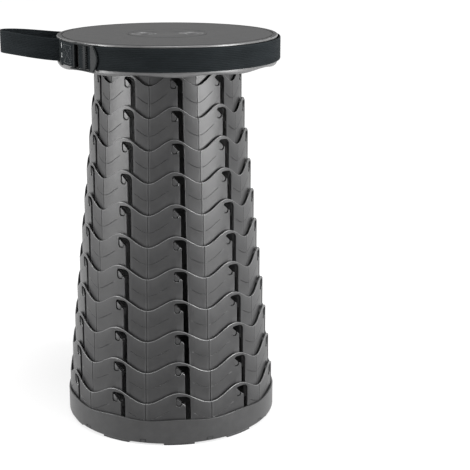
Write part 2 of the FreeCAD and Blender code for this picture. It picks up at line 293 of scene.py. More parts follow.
def mottled(
    name, dark, light, roughness, grain, painted_edge_highlight=None, metallic=0.0, streak=(1.0, 1.0, 1.0), shine=0.5
):
    """Surface with cloudy colour, uneven gloss and a fine grain, in the object's own coordinates."""
    surface = bpy.data.materials.new(name)
    surface.use_nodes = True
    nodes = surface.node_tree.nodes
    links = surface.node_tree.links
    shader = nodes["Principled BSDF"]
    shader.inputs["Metallic"].default_value = metallic
    shader.inputs["Specular IOR Level"].default_value = shine
    place = nodes.new("ShaderNodeTexCoord")
    stretched = nodes.new("ShaderNodeMapping")
    stretched.inputs["Scale"].default_value = streak
    links.new(place.outputs["Object"], stretched.inputs["Vector"])

    cloud = nodes.new("ShaderNodeTexNoise")
    cloud.inputs["Scale"].default_value = CLOUD_SCALE
    cloud.inputs["Detail"].default_value = CLOUD_DETAIL
    cloud.inputs["Roughness"].default_value = CLOUD_ROUGHNESS
    links.new(stretched.outputs["Vector"], cloud.inputs["Vector"])
    colour = two_tone(surface.node_tree, cloud.outputs["Fac"], TINT_RANGE, dark, light)
    # Convex edges, found by pointiness, are painted paler: a painted highlight along the edges.
    if painted_edge_highlight:
        edge = nodes.new("ShaderNodeNewGeometry")
        share = edge.outputs["Pointiness"]
        highlight_mask = two_tone(surface.node_tree, share, EDGE_HIGHLIGHT_RANGE, (0.0,) * 3, (EDGE_HIGHLIGHT_SHARE,) * 3)
        highlighted = nodes.new("ShaderNodeMix")
        highlighted.data_type = "RGBA"
        links.new(highlight_mask, highlighted.inputs["Factor"])
        links.new(colour, highlighted.inputs["A"])
        highlighted.inputs["B"].default_value = (*painted_edge_highlight, 1.0)
        colour = highlighted.outputs["Result"]
    links.new(colour, shader.inputs["Base Color"])

    gloss = nodes.new("ShaderNodeMapRange")
    gloss.inputs["To Min"].default_value = roughness[0]
    gloss.inputs["To Max"].default_value = roughness[1]
    links.new(cloud.outputs["Fac"], gloss.inputs["Value"])
    links.new(gloss.outputs["Result"], shader.inputs["Roughness"])

    fine = nodes.new("ShaderNodeTexNoise")
    fine.inputs["Scale"].default_value = grain[0]
    fine.inputs["Detail"].default_value = GRAIN_DETAIL
    links.new(stretched.outputs["Vector"], fine.inputs["Vector"])
    bump = nodes.new("ShaderNodeBump")
    bump.inputs["Strength"].default_value = GRAIN_STRENGTH
    bump.inputs["Distance"].default_value = grain[1]
    links.new(fine.outputs["Fac"], bump.inputs["Height"])
    links.new(bump.outputs["Normal"], shader.inputs["Normal"])
    return surface


# grey_plastic, seat_plastic and buckle_plastic get that painted highlight along their convex edges.
grey_plastic = mottled(
    "grey_plastic", (0.014, 0.014, 0.0145), (0.022, 0.022, 0.0225), (0.34, 0.44),
    grain=(900.0, 0.0002), painted_edge_highlight=(0.13, 0.13, 0.132), shine=0.38,
)
seat_plastic = mottled(
    "seat_plastic", (0.016, 0.016, 0.0163), (0.025, 0.025, 0.0253), (0.46, 0.58),
    grain=(900.0, 0.00016), painted_edge_highlight=(0.24, 0.24, 0.242), shine=0.14,
)
# Pale plastic that stands in for light: the seat's lower band lit by the floor's reflection, and the lit walls
# of the finger holes.
painted_light_plastic = mottled(
    "painted_light_plastic", (0.07, 0.07, 0.071), (0.095, 0.095, 0.096), (0.34, 0.44),
    grain=(1100.0, 0.00008), shine=0.5,
)
base_plastic = mottled(
    "base_plastic", (0.026, 0.026, 0.0265), (0.036, 0.036, 0.0365), (0.34, 0.44),
    grain=(900.0, 0.00014), shine=0.38,
)
# Paler plastic for the seat's outer rim: a painted highlight.
rim_highlight_plastic = mottled(
    "rim_highlight_plastic", (0.06, 0.06, 0.0605), (0.09, 0.09, 0.0905), (0.3, 0.4),
    grain=(1100.0, 0.00004), shine=0.6,
)
# Paler plastic for the rings' top bevels: a painted highlight.
bevel_highlight_plastic = mottled(
    "bevel_highlight_plastic", (0.08, 0.08, 0.081), (0.12, 0.12, 0.121), (0.3, 0.4),
    grain=(1100.0, 0.00004), shine=0.5,
)
disc_plastic = mottled(
    "disc_plastic", (0.016, 0.016, 0.0163), (0.025, 0.025, 0.0253), (0.46, 0.58),
    grain=(900.0, 0.00016), shine=0.14,
)
buckle_plastic = mottled(
    "buckle_plastic", (0.008, 0.009, 0.0095), (0.014, 0.0155, 0.016), (0.36, 0.48),
    grain=(1400.0, 0.00004), painted_edge_highlight=(0.035, 0.037, 0.038), shine=0.06,
)
webbing = mottled(
    "webbing", (0.004, 0.0055, 0.0063), (0.0095, 0.0118, 0.0132), (0.7, 0.85), grain=(2600.0, 0.00025),
    streak=(0.35, 0.35, 1.0), shine=0.08,
)
thread = mottled(
    "thread", (0.01, 0.0125, 0.014), (0.026, 0.03, 0.032), (0.5, 0.7), grain=(3500.0, 0.0002),
)
pale_thread = mottled(
    "pale_thread", (0.3, 0.31, 0.31), (0.5, 0.51, 0.51), (0.5, 0.7), grain=(3500.0, 0.0002),
)
rubber = mottled(
    "rubber", (0.012, 0.012, 0.013), (0.03, 0.03, 0.031), (0.6, 0.8), grain=(1700.0, 0.0002),
)
steel = mottled(
    "steel", (0.42, 0.43, 0.44), (0.62, 0.63, 0.64), (0.22, 0.4), grain=(900.0, 0.00003), metallic=1.0,
)
for node in ("seat_screws", "disc_screws"):
    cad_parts[node].data.materials.clear()
    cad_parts[node].data.materials.append(steel)


def placed(obj, body, slot, surface, *nodes):
    """Gives a piece its material and its body, and hides the parts from model.glb that it stands for. Its slot
    is not used.
    """
    obj.data.materials.clear()
    obj.data.materials.append(surface)
    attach(obj, body)
    if nodes:
        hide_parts(*nodes)


# ---------------------------------------------------------------- rings
SEAM_HALF = 0.26
SEAM_FLOOR = 0.1
SEAM_DEPTH = 0.6
SEAM_TOLERANCE = 0.02
FIRST_OFFSET = 0.9
WALL_STEPS = 38
WALL_SHARP = 14.0
FOOT_BEVEL = 0.3
RIM_BEVEL = 0.6
RIM_BEVEL_MIDDLE = 0.18
RIM_THICKNESS = 1.25
RIM_TAPER = 3.2
RIM_ZONE = 42.0
BEVEL_UP = 0.25
BEVEL_OUT = 0.1
LINE_BELOW_EDGE = 19.0
LINE_DEPTH = 0.45
LINE_LOWER_HALF = 0.45
LINE_UPPER_HALF = 0.3
LINE_FALLING = (26.2, 35.6)
LINE_RISING = (0.6, 15.0)
LINE_RISING_SHARE = 0.75
LINE_FADE = 0.8
LINE_LONG_FADE = 3.0
OVERRUN = 4.0
POCKET_HALF = 3.4
POCKET_LOW = 41.0
POCKET_ROUNDING = 2.6
SLOT_HALF = 3.0
SLOT_ROUNDING = 6.2
HOOK_TOP = 52.8
HOOK_BEVEL = 0.38
HOOK_BEVEL_SHARE = 0.3
BEVEL_START = 0.08
EDGE_FLAT = 0.3
TONGUE_TOP = 45.0
TONGUE_SLOPE = 0.85
TONGUE_ROUNDING = 0.44
TONGUE_ROUNDING_SHARE = 0.42
RUN_SKIN = 0.6
RUN_MARGIN = 0.4
RUN_OVERRUN = 3.0
RUN_STEPS = 6
LUG_HALF = 3.0
LUG_LOW = 6.1
LUG_HEIGHT = 8.3
LUG_SHOULDER = 3.9
LUG_POINT = 1.6
LUG_ROOT = 0.5
LUG_BEVEL = 0.45
LUG_TIP = RING_PITCH - RUN_SKIN - RUN_MARGIN
RELIEF_TOP = 12.2
RELIEF_LEDGE = 8.7
RELIEF_NOTCH = 4.4
RELIEF_LOW = 1.2


def ring_radius(index):
    return OUTER_RING_RADIUS - RING_PITCH * (STAGES - index)


def ring_bottom(index):
    return FLOOR_TOP + RING_STEP * (STAGES - index)


def panel_radius(radius, offset):
    """Radius of a wall whose panels are a little flatter than the circle through their corners."""
    offset %= SECTOR_ANGLE
    start, span = 0.0, PANEL_OFFSET
    if offset >= PANEL_OFFSET:
        start, span = PANEL_OFFSET, SECTOR_ANGLE - PANEL_OFFSET
    middle = start + span / 2
    chord = radius * math.cos(math.radians(span / 2)) / math.cos(math.radians(offset - middle))
    return radius + PANEL_FLATNESS * (chord - radius)


def seam_dip(offset):
    """Depth of the groove of the seam."""
    away = min(offset % SECTOR_ANGLE, SECTOR_ANGLE - offset % SECTOR_ANGLE)
    if away >= SEAM_HALF:
        return 0.0
    return SEAM_DEPTH * min(1.0, (SEAM_HALF - away) / (SEAM_HALF - SEAM_FLOOR))


def wave(offset):
    """Share of the wave's depth that is cut away: 1 at the seam and 0 at the crest."""
    return (1.0 + math.cos(math.radians(offset * SECTORS))) / 2


def line_dip(offset):
    """Depth of the line engraved under the wave, a little shallower on its rising side."""
    offset %= SECTOR_ANGLE
    start, end = LINE_FALLING
    if start < offset < end:
        return LINE_DEPTH * min(1.0, (offset - start) / LINE_FADE, (end - offset) / LINE_FADE)
    start, end = LINE_RISING
    if start < offset < end:
        fade = min(1.0, (offset - start) / LINE_FADE, (end - offset) / LINE_LONG_FADE)
        return LINE_RISING_SHARE * LINE_DEPTH * fade
    return 0.0


def ring_section(radius, bottom, offset, wavy):
    """Closed profile of a ring's wall at one angle. The ring under the seat is lower and isn't wavy."""
    outer = panel_radius(radius, offset) - seam_dip(offset)
    inner = panel_radius(radius, offset) - RING_WALL
    top = bottom + (RING_HEIGHT - WAVE_DEPTH * wave(offset) if wavy else SKIRT_HEIGHT)
    line = top - LINE_BELOW_EDGE
    profile = [
        (outer - FOOT_BEVEL, bottom),
        (outer, bottom + FOOT_BEVEL),
        (outer, line - LINE_LOWER_HALF),
        (outer - line_dip(offset), line),
        (outer, line + LINE_UPPER_HALF),
        (outer, top - RIM_BEVEL),
        (outer - RIM_BEVEL_MIDDLE, top - RIM_BEVEL_MIDDLE),
        (outer - RIM_BEVEL, top),
        (outer - RIM_THICKNESS, top),
        (inner, top - RIM_TAPER),
        (inner, bottom + FOOT_BEVEL),
        (inner + FOOT_BEVEL, bottom),
    ]
    return [polar(r, SEAM_ANGLE + offset, z) for r, z in profile]


def on_wall(radius, across, out, z):
    """Point given by millimetres across from the hook's middle and out from the wall's face."""
    offset = HOOK_OFFSET + math.degrees(across / radius)
    return polar(panel_radius(radius, offset) + out, SEAM_ANGLE + offset, z)


def prism_on_wall(radius, layers):
    """Solid on the wall from layers, each a distance out from the face and an outline of across and z."""
    sections = [[on_wall(radius, u, out, z) for u, z in outline] for out, outline in layers]
    return loft(sections)


def slot_shift(radius):
    """Distance from the hook's middle to its slot's middle on one side and its pocket's on the other."""
    return math.radians(SLOT_OFFSET - HOOK_OFFSET) * radius


def hook_outline(radius, bottom):
    """Cane-shaped opening: the pocket on the left and the long slot on the right."""
    shift = slot_shift(radius)
    tongue_left, tongue_right = -shift + POCKET_HALF, shift - SLOT_HALF
    tongue = tongue_right - tongue_left
    blunt = min(TONGUE_ROUNDING, TONGUE_ROUNDING_SHARE * tongue)
    return rounded([
        (-shift - POCKET_HALF, bottom + POCKET_LOW, POCKET_ROUNDING),
        (-shift - POCKET_HALF, bottom + HOOK_TOP, POCKET_ROUNDING),
        (shift + SLOT_HALF, bottom + HOOK_TOP, SLOT_ROUNDING),
        (shift + SLOT_HALF, bottom - OVERRUN, 0.0),
        (tongue_right, bottom - OVERRUN, 0.0),
        (tongue_right, bottom + TONGUE_TOP - TONGUE_SLOPE * tongue, blunt),
        (tongue_left, bottom + TONGUE_TOP, blunt),
        (tongue_left, bottom + POCKET_LOW, POCKET_ROUNDING),
    ])


def hook_cutter(radius, bottom):
    """Tool for the hook, wider at the face for a bevel that a narrow tongue can still carry."""
    outline = hook_outline(radius, bottom)
    tongue = 2.0 * slot_shift(radius) - SLOT_HALF - POCKET_HALF
    wide = grown(outline, min(HOOK_BEVEL, HOOK_BEVEL_SHARE * tongue))
    return prism_on_wall(radius, [
        (-RING_WALL - OVERRUN, outline),
        (-EDGE_FLAT, outline),
        (BEVEL_START, wide),
        (OVERRUN, wide),
    ])


def run_cutter(radius, bottom):
    """Tool for the shallow run inside the wall under the pocket."""
    shift = slot_shift(radius)
    low, high = bottom + LUG_LOW - RUN_MARGIN, bottom + POCKET_LOW + RUN_OVERRUN
    sections = []
    for i in range(RUN_STEPS + 1):
        across = -shift - POCKET_HALF + 2 * POCKET_HALF * i / RUN_STEPS
        sections.append([
            on_wall(radius, across, -RING_WALL - RUN_OVERRUN, low),
            on_wall(radius, across, -RUN_SKIN, low),
            on_wall(radius, across, -RUN_SKIN, high),
            on_wall(radius, across, -RING_WALL - RUN_OVERRUN, high),
        ])
    return loft(sections)


def lug_solid(radius, bottom, tip):
    """Teardrop lug: a round foot, and a top that slopes down to the right."""
    shift = slot_shift(radius + RING_PITCH)
    low = bottom + LUG_LOW
    left, right = -shift - LUG_HALF, -shift + LUG_HALF
    outline = rounded([
        (left, low, LUG_HALF - 0.05),
        (left, low + LUG_HEIGHT, 0.9),
        (left + LUG_POINT, low + LUG_HEIGHT, 0.5),
        (right, low + LUG_SHOULDER, 1.3),
        (right, low, LUG_HALF - 0.05),
    ])
    return prism_on_wall(radius, [
        (-LUG_ROOT, outline),
        (tip - LUG_BEVEL, outline),
        (tip - 0.12, grown(outline, -0.15)),
        (tip, grown(outline, -LUG_BEVEL)),
    ])


def relief_cutter(radius, bottom):
    """Tool for the cut-out above and beside the lug, which joins the long slot."""
    shift = slot_shift(radius)
    low = bottom + LUG_LOW
    left, right = -shift - LUG_HALF, -shift + LUG_HALF + 0.25
    outline = rounded([
        (left + 0.7, low + RELIEF_LEDGE, 0.3),
        (left + 0.7, low + RELIEF_TOP, 1.2),
        (shift, low + RELIEF_TOP, 0.0),
        (shift, low + RELIEF_LOW, 0.0),
        (right, low + RELIEF_LOW, 0.3),
        (right, low + RELIEF_NOTCH, 0.3),
        (left + 2.0, low + RELIEF_LEDGE, 0.3),
    ])
    return prism_on_wall(radius, [(-RING_WALL - OVERRUN, outline), (OVERRUN, outline)])


def ring_sector(index, tip, wavy=True, run=True):
    """One tenth of a ring, from seam to seam, with a lug that reaches out as far as its tip, if it has one."""
    radius = ring_radius(index)
    bottom = ring_bottom(index)
    span = SECTOR_ANGLE - 2.0 * FIRST_OFFSET
    offsets = [0.0, SEAM_FLOOR, SEAM_HALF]
    offsets += [FIRST_OFFSET + span * i / WALL_STEPS for i in range(WALL_STEPS + 1)]
    offsets += [SECTOR_ANGLE - SEAM_HALF, SECTOR_ANGLE - SEAM_FLOOR, SECTOR_ANGLE]
    sections = [ring_section(radius, bottom, offset, wavy) for offset in offsets]
    piece = object_from("sector", *loft(sections))
    boolean(piece, object_from("tool", *hook_cutter(radius, bottom)))
    if run:
        boolean(piece, object_from("tool", *run_cutter(radius, bottom)))
    if tip:
        boolean(piece, object_from("tool", *relief_cutter(radius, bottom)))
        boolean(piece, object_from("tool", *lug_solid(radius, bottom, tip)), "UNION")
    return piece


def all_round(piece, name):
    """Takes the end faces off one sector, copies it around the axis and joins the copies at the seams."""
    work = bmesh.new()
    work.from_mesh(piece.data)
    ends = []
    for face in work.faces:
        angles = [math.degrees(math.atan2(v.co.y, v.co.x)) - SEAM_ANGLE for v in face.verts]
        if any(all(abs(a - end) < SEAM_TOLERANCE for a in angles) for end in (0.0, SECTOR_ANGLE)):
            ends.append(face)
    bmesh.ops.delete(work, geom=ends, context="FACES")
    source = list(work.verts) + list(work.edges) + list(work.faces)
    for i in range(1, SECTORS):
        copy = bmesh.ops.duplicate(work, geom=source)
        turned = [v for v in copy["geom"] if isinstance(v, bmesh.types.BMVert)]
        angle = math.radians(SECTOR_ANGLE * i)
        for vert in turned:
            x, y = vert.co.x, vert.co.y
            vert.co.x = x * math.cos(angle) - y * math.sin(angle)
            vert.co.y = x * math.sin(angle) + y * math.cos(angle)
    bmesh.ops.remove_doubles(work, verts=work.verts, dist=JOIN_DISTANCE)
    bmesh.ops.recalc_face_normals(work, faces=work.faces)
    mesh = bpy.data.meshes.new(name)
    work.to_mesh(mesh)
    work.free()
    old = piece.data
    bpy.data.objects.remove(piece)
    bpy.data.meshes.remove(old)
    ring = finished(name, mesh, WALL_SHARP)
    even_shading(ring)
    return ring


def paint_bevel_highlights(ring, bottom):
    """The upward bevel of a ring's wavy top edge gets a paler material: a painted highlight."""
    ring.data.materials.append(bevel_highlight_plastic)
    for polygon in ring.data.polygons:
        centre, normal = polygon.center, polygon.normal
        outward = normal.x * centre.x + normal.y * centre.y
        faces_out = outward > BEVEL_OUT * math.hypot(centre.x, centre.y)
        if centre.z > (bottom + RIM_ZONE) * MM and normal.z > BEVEL_UP and faces_out:
            polygon.material_index = 1


for index in range(1, STAGES):
    node = "ring_%02d" % index
    ring = all_round(ring_sector(index, LUG_TIP), node + "_wall")
    placed(ring, node, "grey_plastic", grey_plastic, node)
    paint_bevel_highlights(ring, ring_bottom(index))
ring = all_round(ring_sector(STAGES, 0.0), "outer_ring_wall")
placed(ring, "base", "grey_plastic", grey_plastic, "outer_ring")
paint_bevel_highlights(ring, ring_bottom(STAGES))
ring = all_round(ring_sector(0, LUG_TIP, wavy=False, run=False), "skirt_ring_wall")
placed(ring, "seat", "grey_plastic", grey_plastic)


# ---------------------------------------------------------------- base and seat
ROUND_STEPS = 360
EDGE_WAVE = 2.2
BASE_INSET = 0.05
BASE_UNDER = 2.0
BASE_UNDER_WIDTH = 14.0
BASE_CURVE = 3.0
BASE_CURVE_START = 3.2
BASE_BEVEL = 0.4
BASE_BEVEL_MIDDLE = 0.12
BASE_BORE = 121.2
BASE_BORE_EDGE = 121.3
BASE_FLOOR_INNER = 110.0
BASE_SHARP = 20.0
MARK_TURN = -1.4
MARK_HALF = 1.75
MARK_LINE_INNER = 1.35
MARK_SIDES = (121.9, 125.0, 3.4, 6.5)
MARK_TOP = (122.2, 125.0, 6.65, 7.3)
MARK_ROUNDING = 0.05
FOOT_PAD = (111.2, 120.6, 0.0, 2.2)
FOOT_HALF = 8.4
DISC_GAP = 0.3
DISC_HOLE_BEVEL = 0.7
SEAT_LOOPS = (46.4, 48.0, 60.0, 75.0, 90.0, 105.0, 115.0, 118.0)
RIM_GROOVE = ((118.6, 0.0), (118.9, 0.9), (120.1, 0.9), (120.4, 0.0), (120.9, 0.0))
SEAT_ROUNDING = 1.3
SEAT_BEVEL = 0.3
SKIRT_ROUNDING = 2.2
SKIRT_FOOT = 2.6
SKIRT_FLAT_LOW = 0.4
SKIRT_FLAT_HIGH = 1.5
SKIRT_STEPS = 7
RIM_HIGHLIGHT_BAND = 0.62
SKIRT_BAND = 0.5
FLANGE_THICKNESS = 3.0
FLANGE_BORE = 66.0
DISC_FLANGE = 8.0
DISC_FLANGE_THICKNESS = 2.0
DISC_CLEARANCE = 0.02
DISC_BEVEL = 0.8
DISC_BEVEL_MIDDLE = 0.25
DISC_INNER_LOOP = 30.0
DISC_STEPS = 180
DISC_SHARP = 10.0
HOLE_STEPS = 72
HOLE_CURVE_STEPS = 12
HOLE_CURVE_WIDTH = 2.2
HOLE_CURVE_HEIGHT = 5.0
HOLE_BELOW = 8.0
HOLE_ABOVE = 5.0
HOLE_BAND = 2.0
HOLE_STEEP = 0.8
KEEPER_INNER = 125.1
KEEPER_OUTER = 126.7
KEEPER_BELOW_GROOVE = 1.4
KEEPER_BELOW_TOP = 0.9
KEEPER_HALF = 1.6


def turned_round(profile_at, closed=True):
    """Skin of a profile that may change with the angle. An open profile gets flat ends."""
    angles = [360.0 * i / ROUND_STEPS for i in range(ROUND_STEPS)]
    sections = [[polar(r, angle, z) for r, z in profile_at(angle)] for angle in angles]
    if closed:
        return loft(sections, closed=True)
    return loft(list(zip(*sections)))


def curve_points(centre_r, centre_z, radius, start, end, steps):
    """Points along an arc in a profile, from one angle to another."""
    turns = [math.radians(start + (end - start) * i / steps) for i in range(steps + 1)]
    return [(centre_r + radius * math.cos(turn), centre_z + radius * math.sin(turn)) for turn in turns]


def base_profile(angle):
    """Open profile of the base: its underside, its face, its wavy top edge and the floor inside it."""
    top = BASE_TOP - EDGE_WAVE * wave(angle - SEAM_ANGLE)
    outer = BASE_RADIUS - BASE_INSET
    profile = [(outer - BASE_UNDER_WIDTH, BASE_UNDER), (outer - BASE_CURVE_START, BASE_UNDER)]
    profile += curve_points(outer - BASE_CURVE, BASE_UNDER + BASE_CURVE, BASE_CURVE, -85.0, 0.0, 7)
    profile += [
        (outer, top - BASE_BEVEL),
        (outer - BASE_BEVEL_MIDDLE, top - BASE_BEVEL_MIDDLE),
        (outer - BASE_BEVEL, top),
        (BASE_BORE_EDGE, top),
        (BASE_BORE, top - 0.1),
        (BASE_BORE, FLOOR_TOP),
        (BASE_FLOOR_INNER, FLOOR_TOP),
    ]
    return profile


base = object_from("base_band", *turned_round(base_profile, closed=False))
marks = []
for i in range(SECTORS):
    middle = SEAM_ANGLE + MARK_TURN + SECTOR_ANGLE * i
    for start, end in ((-MARK_HALF, -MARK_LINE_INNER), (MARK_LINE_INNER, MARK_HALF)):
        marks.append(arc_block(*MARK_SIDES, middle + start, middle + end, MARK_ROUNDING))
    marks.append(arc_block(*MARK_TOP, middle - MARK_HALF, middle + MARK_HALF, MARK_ROUNDING))
boolean(base, object_from("tool", *joined(marks)))
finish_shading(base, BASE_SHARP)
even_shading(base)
placed(base, "base", "grey_plastic", base_plastic, "base_tray")

feet = []
for i in range(SECTORS):
    middle = SEAM_ANGLE + POCKET_OFFSET + SECTOR_ANGLE * i
    feet.append(arc_block(*FOOT_PAD, middle - FOOT_HALF, middle + FOOT_HALF))
placed(object_from("feet", *joined(feet)), "base", "black_rubber", rubber, "foot_pads")


def seat_profile(angle):
    """Top with its rim, the strap's groove and the skirt with its wavy, rounded lower edge."""
    edge = SEAT_BOTTOM + EDGE_WAVE * wave(angle - SEAM_ANGLE)
    hole = DISC_RADIUS + DISC_GAP
    profile = [(hole, PLATE_UNDER), (hole, SEAT_TOP - DISC_HOLE_BEVEL), (hole + DISC_HOLE_BEVEL, SEAT_TOP)]
    profile += [(r, SEAT_TOP) for r in SEAT_LOOPS]
    profile += [(r, SEAT_TOP - depth) for r, depth in RIM_GROOVE]
    profile += curve_points(
        SEAT_RADIUS - SEAT_ROUNDING, SEAT_TOP - SEAT_ROUNDING, SEAT_ROUNDING, 90.0, 0.0, 6,
    )
    profile += [
        (SEAT_RADIUS, GROOVE_TOP + SEAT_BEVEL),
        (SEAT_RADIUS - SEAT_BEVEL, GROOVE_TOP),
        (GROOVE_RADIUS, GROOVE_TOP),
        (GROOVE_RADIUS, GROOVE_BOTTOM),
        (SEAT_RADIUS - SEAT_BEVEL, GROOVE_BOTTOM),
        (SEAT_RADIUS, GROOVE_BOTTOM - SEAT_BEVEL),
    ]
    low = edge + SKIRT_FLAT_LOW
    for i in range(1, SKIRT_STEPS + 1):
        turn = math.radians(90.0 * i / SKIRT_STEPS)
        r = SEAT_RADIUS - SKIRT_ROUNDING + SKIRT_ROUNDING * math.cos(turn)
        profile.append((r, low + (GROOVE_BOTTOM - SKIRT_FLAT_HIGH - low) * (1.0 - math.sin(turn))))
    profile += [
        (SEAT_RADIUS - SKIRT_FOOT, edge),
        (SEAT_BORE + SEAT_BEVEL, edge),
        (SEAT_BORE, edge + SEAT_BEVEL),
        (SEAT_BORE, PLATE_UNDER),
    ]
    return profile


shell = object_from("seat_top", *turned_round(seat_profile))
placed(shell, "seat", "grey_plastic", seat_plastic, "seat_shell")
shell.data.materials.append(painted_light_plastic)
shell.data.materials.append(rim_highlight_plastic)
for polygon in shell.data.polygons:
    height = polygon.center.z
    reach = math.hypot(polygon.center.x, polygon.center.y)
    # Faces of the outer rim get the paler rim plastic: a painted highlight.
    if height > GROOVE_TOP * MM and reach > (SEAT_RADIUS - RIM_HIGHLIGHT_BAND) * MM:
        polygon.material_index = 2
    # Faces of the skirt under the groove get the pale plastic: painted light from the floor's reflection.
    if height < GROOVE_BOTTOM * MM and reach > (SEAT_BORE + SKIRT_BAND) * MM:
        polygon.material_index = 1


def flange_profile(angle):
    """Flange that closes the skirt ring under the seat's plate."""
    outer = panel_radius(ring_radius(0), angle - SEAM_ANGLE) - RING_WALL
    low = PLATE_UNDER - FLANGE_THICKNESS
    return [(outer, PLATE_UNDER), (outer, low), (FLANGE_BORE, low), (FLANGE_BORE, PLATE_UNDER)]


flange = object_from("skirt_flange", *turned_round(flange_profile))
placed(flange, "seat", "grey_plastic", grey_plastic, "seat_skirt_ring")


def disc_loops():
    """Finger disc without its holes: a flange under the plate and a bevelled top."""
    rows = [
        (DISC_RADIUS + DISC_FLANGE, PLATE_UNDER - DISC_FLANGE_THICKNESS),
        (DISC_RADIUS + DISC_FLANGE, PLATE_UNDER - DISC_CLEARANCE),
        (DISC_RADIUS, PLATE_UNDER - DISC_CLEARANCE),
        (DISC_RADIUS, SEAT_TOP - DISC_BEVEL),
        (DISC_RADIUS - DISC_BEVEL_MIDDLE, SEAT_TOP - DISC_BEVEL_MIDDLE),
        (DISC_RADIUS - DISC_BEVEL, SEAT_TOP),
        (DISC_INNER_LOOP, SEAT_TOP),
    ]
    return loft([[polar(r, 360.0 / DISC_STEPS * i, z) for i in range(DISC_STEPS)] for r, z in rows])


def finger_hole(centre):
    """Tool for a finger hole that widens towards the top in a quarter of an ellipse."""
    rows = [(FINGER_HOLE_RADIUS, PLATE_UNDER - HOLE_BELOW)]
    for i in range(HOLE_CURVE_STEPS + 1):
        turn = math.radians(90.0 / HOLE_CURVE_STEPS * i)
        r = FINGER_HOLE_RADIUS + HOLE_CURVE_WIDTH * (1.0 - math.cos(turn))
        rows.append((r, SEAT_TOP - HOLE_CURVE_HEIGHT + HOLE_CURVE_HEIGHT * math.sin(turn)))
    rows.append((FINGER_HOLE_RADIUS + HOLE_CURVE_WIDTH, SEAT_TOP + HOLE_ABOVE))
    loops = []
    for r, z in rows:
        circle = [polar(r, 360.0 / HOLE_STEPS * i, z) for i in range(HOLE_STEPS)]
        loops.append([(x + centre, y, z) for x, y, z in circle])
    return loft(loops)


disc = object_from("finger_insert", *disc_loops())
holes = [finger_hole(side * FINGER_HOLE_SPACING / 2) for side in (-1, 1)]
boolean(disc, object_from("tool", *joined(holes)))
finish_shading(disc, DISC_SHARP)
placed(disc, "seat", "grey_plastic", disc_plastic, "finger_disc")
disc.data.materials.append(painted_light_plastic)
for polygon in disc.data.polygons:
    beside = abs(polygon.center.x) - FINGER_HOLE_SPACING / 2 * MM
    near = math.hypot(beside, polygon.center.y) < (FINGER_HOLE_RADIUS + HOLE_BAND) * MM
    # Steep faces round the finger holes get the pale plastic: painted light on the holes' walls.
    if near and abs(polygon.normal.z) < HOLE_STEEP:
        polygon.material_index = 1

keepers = []
for middle in (180.0 - KEEPER_ANGLE, 180.0 + KEEPER_ANGLE):
    keepers.append(arc_block(
        KEEPER_INNER, KEEPER_OUTER, GROOVE_BOTTOM - KEEPER_BELOW_GROOVE, SEAT_TOP - KEEPER_BELOW_TOP,
        middle - KEEPER_HALF, middle + KEEPER_HALF,
    ))
placed(object_from("strap_keepers", *joined(keepers)), "seat", "dark_plastic", buckle_plastic)


# ---------------------------------------------------------------- webbing
RIBS = 13
RIB_STEPS = 5
RIB_HEIGHT = 0.42
EDGE_MARGIN = 0.5
ROLL_SHARE = 0.55
ROLL_INSET = 0.1
SECTION_PITCH = 2.2
CLIMB_START = 117.0
CLIMB_ANGLE = 34.0
WEBBING_SHARP = 60.0


def strap_route():
    """Arcs of the strap's route: each a centre, a radius, a start and an end angle."""
    near_angle = math.radians(180.0 + EXIT_ANGLE)
    exit_radius = FIRST_LAYER + EXIT_BEND
    near = (exit_radius * math.cos(near_angle), exit_radius * math.sin(near_angle))
    apex = -HANDLE_REACH + HANDLE_APEX_RADIUS
    spread = -near[1] - EXIT_BEND
    reach = near[0] - apex
    leg = (reach ** 2 + spread ** 2 - HANDLE_APEX_RADIUS ** 2) / (2.0 * (spread - HANDLE_APEX_RADIUS))
    meet = math.degrees(math.atan2(leg - spread, reach))
    left_bar = polar(LAYER_MIDDLE, BUCKLE_START)[:2]
    middle_bar = polar(LAYER_MIDDLE, MIDDLE_BAR)[:2]
    return [
        ((0, 0), SECOND_LAYER, FLAP_END, BUCKLE_START),
        (left_bar, TURN_RADIUS, BUCKLE_START, BUCKLE_START + 180.0),
        ((0, 0), FIRST_LAYER, BUCKLE_START, 180.0 + EXIT_ANGLE),
        (near, EXIT_BEND, EXIT_ANGLE, 90.0),
        ((near[0], -spread + leg), leg, 270.0, 180.0 + meet),
        ((apex, 0), HANDLE_APEX_RADIUS, 180.0 + meet, 180.0 - meet),
        ((near[0], spread - leg), leg, 180.0 - meet, 90.0),
        ((near[0], -near[1]), EXIT_BEND, -90.0, -EXIT_ANGLE),
        ((0, 0), FIRST_LAYER, 180.0 - EXIT_ANGLE, MIDDLE_BAR - 360.0),
        (middle_bar, TURN_RADIUS, MIDDLE_BAR - 180.0, MIDDLE_BAR),
        ((0, 0), SECOND_LAYER, MIDDLE_BAR, TAIL_END),
    ]


def webbing_profile():
    """Cross-section of the webbing as pairs of across and up, with ribs on both faces and rolled edges."""
    half = WEBBING_THICKNESS / 2
    face = []
    steps = RIBS * RIB_STEPS
    for i in range(steps + 1):
        share = i / steps
        ridge = abs(math.sin(math.pi * RIBS * share))
        up = EDGE_MARGIN + (WEBBING_WIDTH - 2.0 * EDGE_MARGIN) * share
        face.append((half - RIB_HEIGHT * (1.0 - ridge), up))
    roll, high = half * ROLL_SHARE, WEBBING_WIDTH - ROLL_INSET
    outline = face + [(roll, high), (-roll, high)]
    outline += [(-x, z) for x, z in reversed(face)]
    return outline + [(-roll, ROLL_INSET), (roll, ROLL_INSET)]


